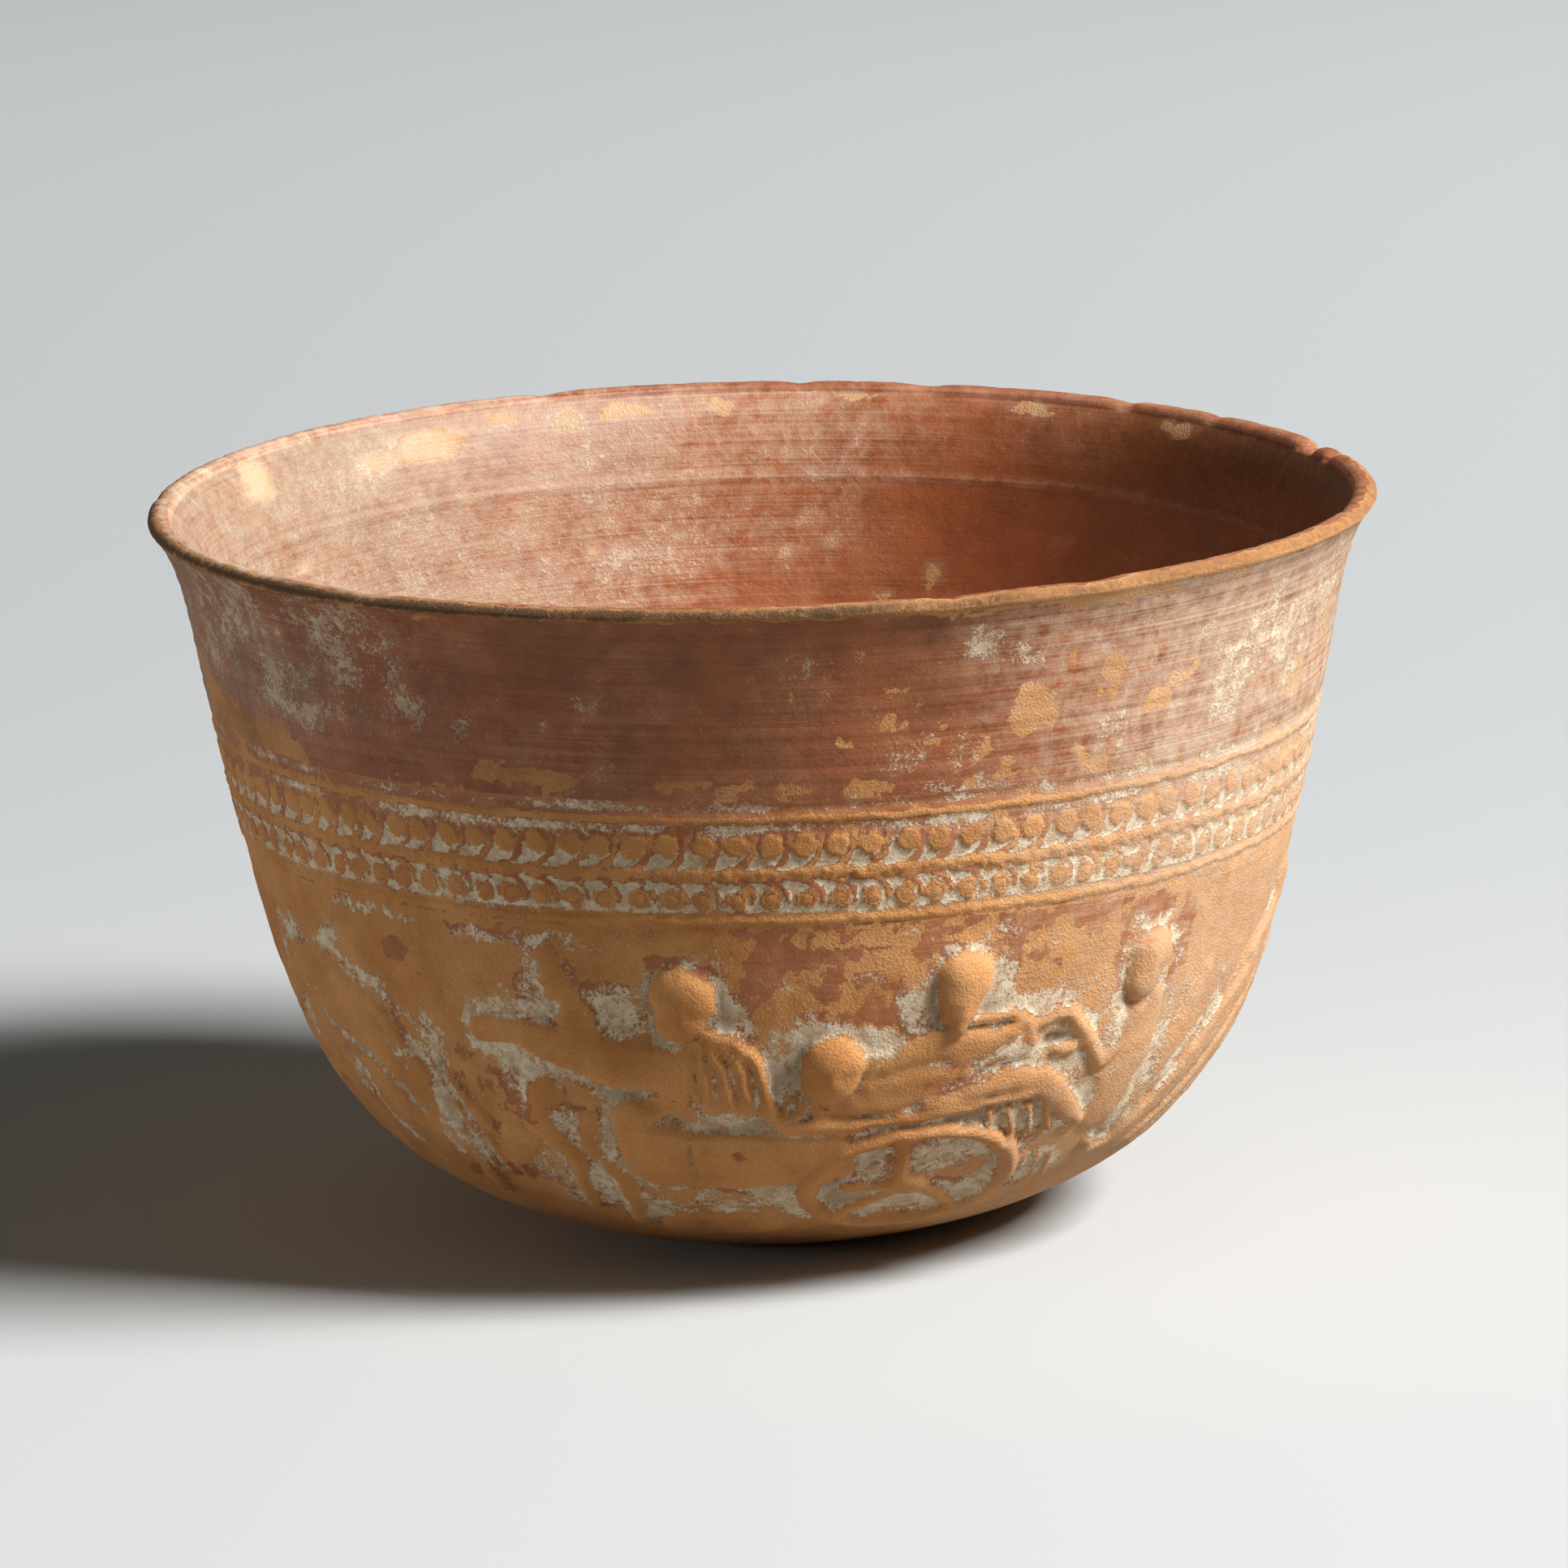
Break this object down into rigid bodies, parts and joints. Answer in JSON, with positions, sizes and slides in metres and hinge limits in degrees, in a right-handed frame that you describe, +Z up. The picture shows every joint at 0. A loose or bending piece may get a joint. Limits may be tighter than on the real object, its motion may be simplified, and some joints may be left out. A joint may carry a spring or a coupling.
{
  "type": "relief bowl",
  "caption": "Round-bottomed ceramic drinking bowl, pressed in a mould with a figure frieze and border rows, with a plain thrown rim and flared lip",
  "frame": {"origin": "middle of the flat resting disc on the underside", "axes": "+Z up along the turning axis, -Y the side the picture shows, +X to its right"},
  "size_m": [0.13, 0.13, 0.0776],
  "materials": {
    "fired_clay": "matt, worn red-brown slip over buff clay",
    "slipped_clay": "dull red-brown slip, flaking"
  },
  "bodies": {
    "root": {"moulded_body": "fired_clay", "thrown_rim": "slipped_clay"}
  },
  "joints": []
}
